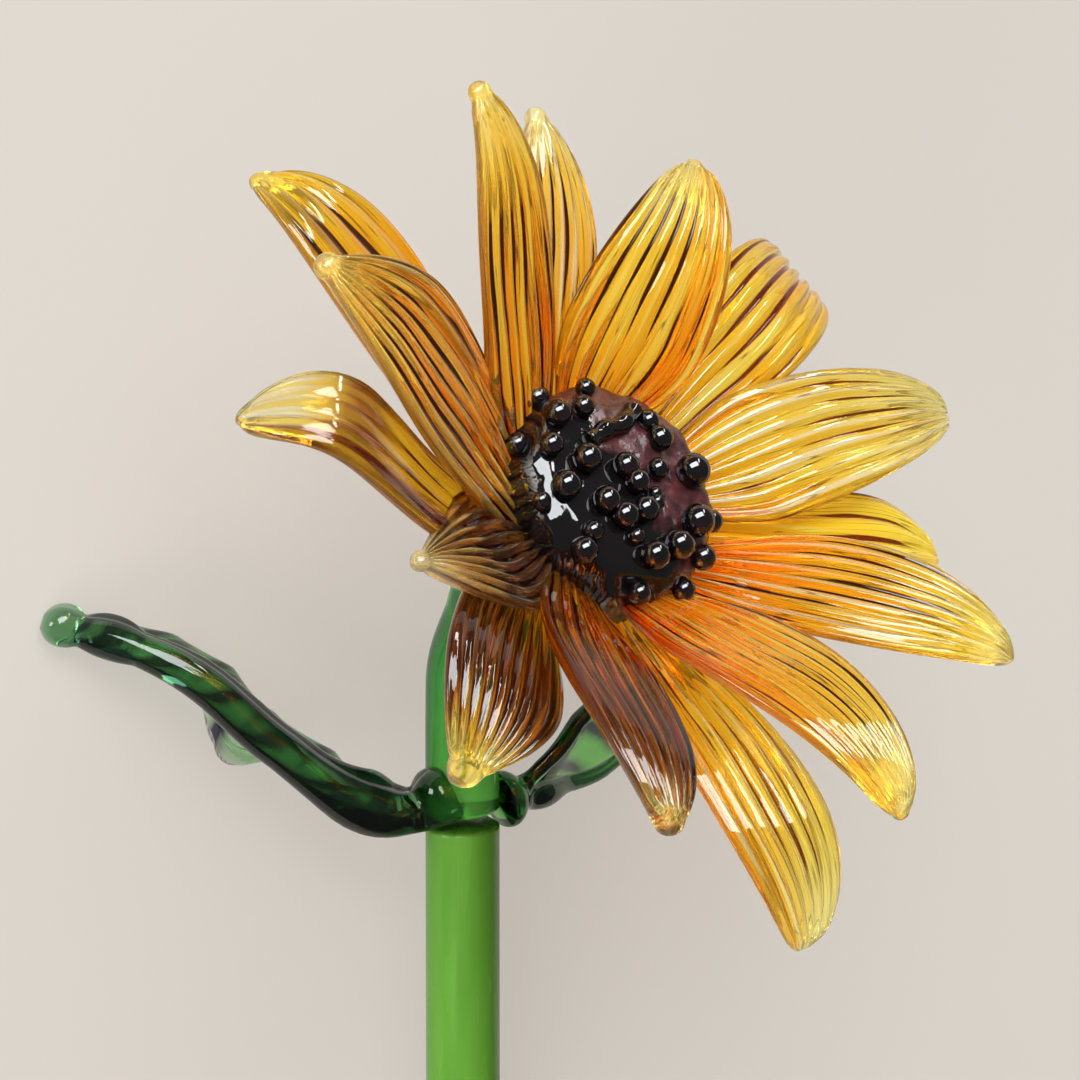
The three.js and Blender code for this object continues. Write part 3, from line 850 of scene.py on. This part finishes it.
def make_seed_head(material):
    profile = route([Vector((r, z, 0)) for r, z in reversed(DISC_PROFILE)], DISC_ROWS, evenly=True)

    def place(row, side, face, pole):
        radius, height, _ = profile[row][1]
        if pole:
            return HEAD @ (DISC_CENTRE + Vector((0, 0, height)))
        spot = Vector((side * radius, face * radius, height))
        lump = noise.noise(spot * LUMP_PITCH) + SMALL_LUMPS * noise.noise(spot * SMALL_LUMP_PITCH)
        grown = 1 + LUMP_SWELL * lump
        pooled = min(max(POOL_AT_MIDDLE - spot.x / POOL_FADE, 0), 1) if height > POOL_LEVEL else 0
        rise = lump * (LUMP_RISE - POOL_CALM * pooled)
        swollen = Vector((side * radius * grown, face * radius * grown, height + rise))
        return HEAD @ (DISC_CENTRE + swollen)

    def tint(row, side, face):
        radius = profile[row][1][0] / DISC_EDGE
        return (profile[row][0], 0.5 + 0.5 * side * radius, 0.5 + 0.5 * face * radius)

    mesh = blank()
    drop(mesh, DISC_SIDES, DISC_ROWS, place, tint)
    piece("glass_seed_head", mesh, material, "dark_glass", "seed_head")


def make_beads(material):
    mesh = blank()
    for right, top, written in BEADS:
        seat, out = seat_on_dome(right, top)
        radius = BEAD_SWELL * written
        upright = out.to_track_quat("Z", "Y").to_matrix().to_4x4()
        squash = BEAD_SQUASH + BEAD_UNEVEN * noise.noise((right, top, 0))
        placed = Matrix.Translation(seat + out * BEAD_LIFT * radius) @ upright
        placed = placed @ Matrix.Diagonal((radius, radius, radius * squash, 1))
        bmesh.ops.create_uvsphere(mesh, u_segments=BEAD_SIDES, v_segments=BEAD_ROWS, radius=1,
                                  matrix=HEAD @ placed)
    thread = route([seat_on_dome(*spot)[0] for spot in BLACK_THREAD], THREAD_ROWS)

    def place(row, side, face, pole):
        t, point, tangent = thread[row]
        across = tangent.cross(Vector((0, 0, 1))).normalized()
        bulge = 1 + THREAD_BULGE * cos(THREAD_BULGE_RATE * t)
        ends = min(1, THREAD_ENDS * (4 * t * (1 - t)) ** 0.5)
        radius = 0 if pole else THREAD_RADIUS * bulge * ends
        up = across.cross(tangent)
        lifted = point + Vector((0, 0, THREAD_LIFT))
        return HEAD @ (lifted + across * side * radius + up * face * radius)

    drop(mesh, THREAD_SIDES, THREAD_ROWS, place, lambda row, side, face: (thread[row][0], 0.5, 0.5))
    piece("glass_beads", mesh, material, "dark_glass", "seed_head")


make_seed_head(core_glass("maroon_core"))
make_beads(bead_glass("black_beads"))


# Neck and stem

ROD_RADIUS = 4.3
STEM_X = -15.8
STEM_Y = 21
WELD_HEIGHT = -38.5
STEM_END = -250
HUB_BACK = -8.8
NECK_STRAIGHT = (0.0, 5, 10, 15)
NECK_BEND = ((2.2, -2.6, -14.5), (0.3, -0.3, -20), (0, 0, -26))
PAD_SPREAD = 3.7
PAD_LENGTH = 6
PAD_TAPER = 1.6
NECK_ROUND_START = 0.6
NECK_ROUND_END = 1.2
NECK_ROWS = 72
STEM_ROWS = 90
STEM_ROUND_TOP = 0.35
STEM_MELT = 3.6
ROD_SIDES = 64
WELD_GAP = 0.3
WELD_SAG = 0.18
SAG_REACH = 3


def weld_sag(point, nearness):
    """Tilts the weld's edge down on the viewer's side."""
    point.z += WELD_SAG * (point.y - STEM_Y) * nearness
    return point


def make_neck(material):
    points = [head_axis * (HUB_BACK - depth) for depth in NECK_STRAIGHT]
    points += [Vector((STEM_X + dx, STEM_Y + dy, height)) for dx, dy, height in NECK_BEND]
    points.append(Vector((STEM_X, STEM_Y, WELD_HEIGHT + WELD_GAP)))
    stations = route(points, NECK_ROWS)
    length = sum((b - a).length for a, b in zip(points, points[1:]))

    def place(row, side, face, pole):
        t, point, tangent = stations[row]
        start = t * length
        end = (1 - t) * length
        across = (Vector((1, 0, 0)) - tangent * tangent.x).normalized()
        out = tangent.cross(across)
        flare = PAD_SPREAD * max(1 - start / PAD_LENGTH, 0) ** PAD_TAPER
        radius = (ROD_RADIUS + flare) * rounded(end, NECK_ROUND_END) * rounded(start, NECK_ROUND_START)
        if pole:
            return point.copy()
        return weld_sag(point + across * side * radius + out * face * radius, exp(-end / SAG_REACH))

    def tint(row, side, face):
        return (stations[row][0], 0.5 + 0.5 * side, 0.5 + 0.5 * face)

    mesh = blank()
    drop(mesh, ROD_SIDES, NECK_ROWS, place, tint)
    piece("glass_neck", mesh, material, "clear_green_glass", "neck")


def make_stem(material):
    """A drawn rod: its top is flat against the weld and its foot is melted round."""
    length = WELD_HEIGHT - STEM_END

    def place(row, side, face, pole):
        t = station_place(row, STEM_ROWS)
        top = t * length
        foot = (1 - t) * length
        melt = (1 - (1 - min(foot / STEM_MELT, 1)) ** 2) ** 0.5
        radius = ROD_RADIUS * melt * rounded(top, STEM_ROUND_TOP)
        point = Vector((STEM_X + side * radius, STEM_Y + face * radius, WELD_HEIGHT - top))
        return point if pole else weld_sag(point, exp(-top / SAG_REACH))

    def tint(row, side, face):
        return (station_place(row, STEM_ROWS), 0.5 + 0.5 * side, 0.5 + 0.5 * face)

    mesh = blank()
    drop(mesh, ROD_SIDES, STEM_ROWS, place, tint)
    piece("glass_stem", mesh, material, "grass_green_glass", "stem")


make_neck(neck_glass("neck_green"))
make_stem(cloudy_green_glass("grass_green"))


# Leaves

LEAVES = {
    "leaf_left": dict(
        line=((-17, 19, -35), (-22, 18, -37.3), (-28, 17, -36), (-37, 15, -28.8), (-45, 13, -21.7),
              (-53, 11.5, -17.4), (-63, 10, -14.1)),
        side=(0.15, 0.95, -0.25), width=15, front_roll=2.3, heavy=1.7, back_roll=0.9, arch=2.6, ruffle=0.6,
        droop=8.5, collar=3.6, clear_base=0.4),
    "leaf_right": dict(
        line=((-11.5, 22.5, -36.5), (-7, 26, -35), (-3, 30, -32), (2, 34, -29.5), (6, 38.5, -27.5),
              (9.5, 43.5, -26), (12, 49, -25.5)),
        side=(0.35, -0.25, 0.75), width=14.5, front_roll=1.2, heavy=1.4, back_roll=1.1, arch=0, ruffle=0.1,
        droop=0, collar=3.4, clear_base=0),
}
LEAF_SIDES = 128
LEAF_ROWS = 120
LEAF_BALL = 2.3
BLADE_THICK = 0.8
BLADE_FULLNESS = 0.9
ROLL_FULLNESS = 0.4
# Places along a leaf, as middle and spread: its joint, the heavy part of its roll, where the
# rolls stay full near its tip, its droop, and its two clear ends
JOINT = (0.02, 0.08)
HEAVY_ROLL = (0.16, 0.13)
TIP_ROLL = (0.85, 0.12)
DROOP = (0.49, 0.09)
CLEAR_BASE = (0.0, 0.075)
CLEAR_TIP = (1, 0.05)
CLEAR_TIP_SHARE = 0.6
ARCH_REACH = 0.8
RUFFLE_PITCH = 7.5
RUFFLE_SLANT = 5
RUFFLE_CURVE = 0.8
# Shape of the painted shade along the ruffles' creases
CREASE_SHADE_CURVE = 1.5


def swell(t, middle, spread):
    """A bell: 1 at the middle, and fading over the spread to either side."""
    return exp(-(((t - middle) / spread) ** 2))


def make_leaf(name, material, line, side, width, front_roll, heavy, back_roll, arch, ruffle, droop, collar,
              clear_base):
    """A blade of glass with a thick roll along its front edge and ruffles behind it."""
    stations = route([Vector(point) for point in line], LEAF_ROWS)
    length = sum((after[1] - before[1]).length for before, after in zip(stations, stations[1:]))
    sideways = Vector(side)

    def section(t, flat):
        """Half width, half thickness and lift at this place, and how dark the glass is there, with painted
        shade in the creases.
        """
        end = (1 - t) * length
        ball = ball_end(end, LEAF_BALL)
        joint = collar * swell(t, *JOINT)
        blade = sin(pi * t)
        half_width = max(joint, ball, width / 2 * blade ** BLADE_FULLNESS * rounded(end, LEAF_BALL))
        x = flat * half_width
        rolls = []
        near_roll = front_roll + heavy * swell(t, *HEAVY_ROLL)
        for roll, spot in ((near_roll, -x), (back_roll, x)):
            radius = min(roll * max(blade ** ROLL_FULLNESS, swell(t, *TIP_ROLL)), half_width)
            rolls.append(max(radius ** 2 - (spot - half_width + radius) ** 2, 0) ** 0.5)
        thin = BLADE_THICK * (1 - flat * flat) ** 0.5
        ends = max(joint, ball) * (1 - flat * flat) ** 0.5
        thick = (rolls[0] ** 3 + rolls[1] ** 3 + thin ** 3 + ends ** 3) ** (1 / 3)
        behind = max((flat + 1 - front_roll / max(half_width, front_roll)) / 2, 0)
        fold = abs(sin(pi * t * length / RUFFLE_PITCH + RUFFLE_SLANT * behind))
        ruffled = 2 * ruffle * behind * (1 - fold ** RUFFLE_CURVE)
        lift = arch * sin(pi * min(behind / ARCH_REACH, 1)) + ruffled
        lift = lift * blade ** 0.5 - droop * behind ** 2 * swell(t, *DROOP)
        rolled = min(rolls[0] / front_roll, 1)
        # Painted shade along the creases of the ruffles
        painted_crease_shade = min(4 * behind, 1) * (1 - fold) ** CREASE_SHADE_CURVE
        clear_end = max(clear_base * swell(t, *CLEAR_BASE), CLEAR_TIP_SHARE * swell(t, *CLEAR_TIP))
        return half_width, thick, lift, max(rolled ** 2, painted_crease_shade) * (1 - clear_end)

    def place(row, flat, face, pole):
        t, point, tangent = stations[row]
        if pole:
            return point.copy()
        across = (sideways - tangent * sideways.dot(tangent)).normalized()
        out = tangent.cross(across)
        half_width, thick, lift, _ = section(t, flat)
        return point + across * flat * half_width + out * ((thick if face > 0 else -thick) - lift)

    def tint(row, flat, face):
        t = stations[row][0]
        return (t, 0.5 + 0.5 * flat, section(t, flat)[3])

    mesh = blank()
    drop(mesh, LEAF_SIDES, LEAF_ROWS, place, tint)
    piece("glass_" + name, mesh, material, "clear_green_glass", name)


leaf_green = {
    "leaf_left": bottle_green_glass("bottle_green", (0.68, 0.93, 0.62, 1), (0.02, 0.016, 0.045, 1)),
    "leaf_right": bottle_green_glass("leaf_green", (0.36, 0.92, 0.2, 1), (0.04, 0.06, 0.06, 1)),
}
for name, shape in LEAVES.items():
    make_leaf(name, leaf_green[name], **shape)


# Floor, light and camera

FLOOR_SIZE = 3
FLOOR_SQUARES = 8
FLOOR_GLOW = 0.46
AMBIENT = 0.12
SENSOR = 36
LENS = 136.4
# Where the camera stands before the upright flower, in its millimetres, as a scratch program
# worked it out from a point it aims at and its distance
CAMERA_PLACE = Vector((-6.82, -448.64, 35.17))
LIGHT_BOUNCES = 24


def make_floor():
    mesh = bmesh.new()
    bmesh.ops.create_grid(mesh, x_segments=FLOOR_SQUARES, y_segments=FLOOR_SQUARES, size=FLOOR_SIZE)
    data = bpy.data.meshes.new("studio_floor")
    mesh.to_mesh(data)
    mesh.free()
    made = bpy.data.objects.new("studio_floor", data)
    bpy.context.scene.collection.objects.link(made)
    finish = Finish("pale_floor")
    paper = finish.grain(3)
    shades = [(0.3, colour(95, 91, 87)), (0.7, colour(92, 89, 85))]
    finish.feed("Base Color", finish.ramp(paper, shades))
    finish.socket("Emission Color", colour(255, 247, 237))
    finish.socket("Emission Strength", FLOOR_GLOW)
    finish.socket("Roughness", 0.85)
    finish.socket("Specular IOR Level", 0.1)
    data.materials.append(finish.material)


# The viewer's right, top and near side, and the bloom's middle, once the flower lies down
view_turn = LAY_DOWN.to_3x3().normalized()
view_right = (view_turn @ Vector((1, 0, 0))).normalized()
view_top = (view_turn @ view_up).normalized()
view_out = (view_turn @ to_viewer).normalized()
bloom = LAY_DOWN @ Vector((0, 0, 0))


def soft_box(name, right, top, out, size, power, shade=(1, 1, 1), mirrored=True):
    """A soft light at a place given as seen by the camera, aimed at the bloom, in metres."""
    data = bpy.data.lights.new(name, "AREA")
    data.shape = "RECTANGLE"
    data.size, data.size_y = size
    data.energy = power
    data.color = shade
    made = bpy.data.objects.new(name, data)
    bpy.context.scene.collection.objects.link(made)
    made.location = bloom + view_right * right + view_top * top + view_out * out
    made.rotation_euler = (made.location - bloom).to_track_quat("Z", "Y").to_euler()
    made.visible_glossy = mirrored


make_floor()
soft_box("key_window", 0.15, 0.6, 0.75, (0.95, 0.5), 19, shade=(0.94, 0.97, 1))
soft_box("left_window", -0.95, 0.25, 0.45, (0.3, 0.7), 7)
soft_box("right_strip", 0.6, 0.92, 0.2, (0.1, 0.5), 2.4, shade=(1, 0.97, 0.95))
soft_box("ceiling", 0, 0.1, 1.7, (2.4, 2.4), 28, mirrored=False)
soft_box("low_fill", -0.45, -0.75, 0.7, (0.8, 0.6), 17, mirrored=False)

world = bpy.data.worlds.new("studio")
bpy.context.scene.world = world
world.use_nodes = True
sky = world.node_tree.nodes["Background"]
sky.inputs["Color"].default_value = (1, 0.985, 0.96, 1)
sky.inputs["Strength"].default_value = AMBIENT

camera_data = bpy.data.cameras.new("camera")
camera_data.sensor_width = SENSOR
camera_data.lens = LENS
camera = bpy.data.objects.new("camera", camera_data)
bpy.context.scene.collection.objects.link(camera)
camera.location = LAY_DOWN @ CAMERA_PLACE
camera.rotation_euler = Matrix((view_right, view_top, view_out)).transposed().to_euler()
bpy.context.scene.camera = camera
bpy.context.scene.view_settings.view_transform = "Standard"
bpy.context.scene.cycles.max_bounces = LIGHT_BOUNCES
bpy.context.scene.cycles.transmission_bounces = LIGHT_BOUNCES
